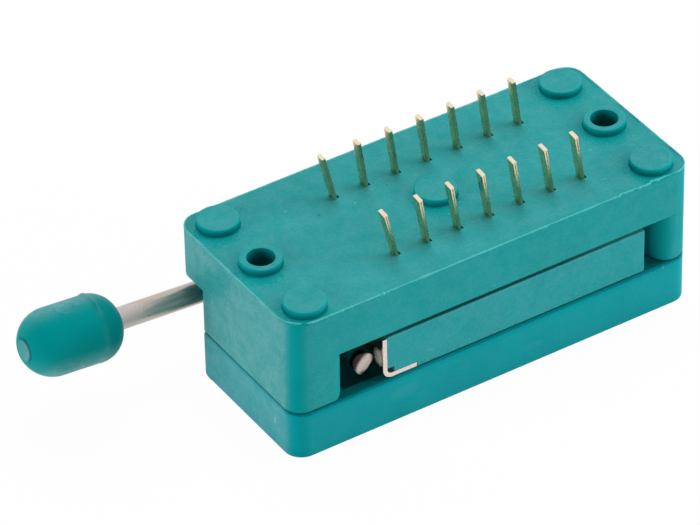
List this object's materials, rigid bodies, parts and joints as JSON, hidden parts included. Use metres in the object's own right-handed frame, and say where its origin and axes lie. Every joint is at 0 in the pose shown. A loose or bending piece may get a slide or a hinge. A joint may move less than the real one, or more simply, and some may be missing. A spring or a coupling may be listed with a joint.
{
  "type": "zero insertion force socket",
  "caption": "Lever-operated zero-insertion-force socket for dual-in-line packages, with a sliding actuator, a cranked lever with a knob and rows of solder tails.",
  "frame": {"origin": "centre of the cover's outer face, on the surface that the socket lies on", "axes": "+X along the body away from the lever's knob, +Y across it to the lever's side, +Z from the cover to the solder tails"},
  "size_m": [0.0456, 0.016, 0.0152],
  "materials": {
    "housing_plastic": "fine matt moulded surface",
    "slide_plastic": "fine matt moulded surface",
    "knob_plastic": "satin moulded surface with a parting line",
    "plate_steel": "bright rolled strip",
    "rod_steel": "drawn rod, satin",
    "screw_steel": "plated, satin",
    "contact_gold": "gold plated, stamped"
  },
  "bodies": {
    "housing": {"base": "housing_plastic", "cover": "housing_plastic", "cover_screws": "screw_steel", "contact_01": "contact_gold", "contact_02": "contact_gold", "contact_03": "contact_gold", "contact_04": "contact_gold", "contact_05": "contact_gold", "contact_06": "contact_gold", "contact_07": "contact_gold", "contact_08": "contact_gold", "contact_09": "contact_gold", "contact_10": "contact_gold", "contact_11": "contact_gold", "contact_12": "contact_gold", "contact_13": "contact_gold", "contact_14": "contact_gold"},
    "lever_arm": {"lever": "rod_steel", "lever_knob": "knob_plastic"},
    "actuator": {"slide": "slide_plastic", "wear_plate": "plate_steel"}
  },
  "joints": [
    {"name": "lever_turn", "type": "hinge", "parent": "housing", "child": "lever_arm", "pos_m": [-0.011, 0, 0.00525], "axis": [0, -1, 0], "range_deg": [0, 90]},
    {"name": "slide_run", "type": "slide", "parent": "housing", "child": "actuator", "axis": [-1, 0, 0], "range_m": [0, 0.0007]}
  ],
  "couplings": [
    {"joint": "lever_turn", "follows": "slide_run", "rad_per_m": 2243.9}
  ]
}
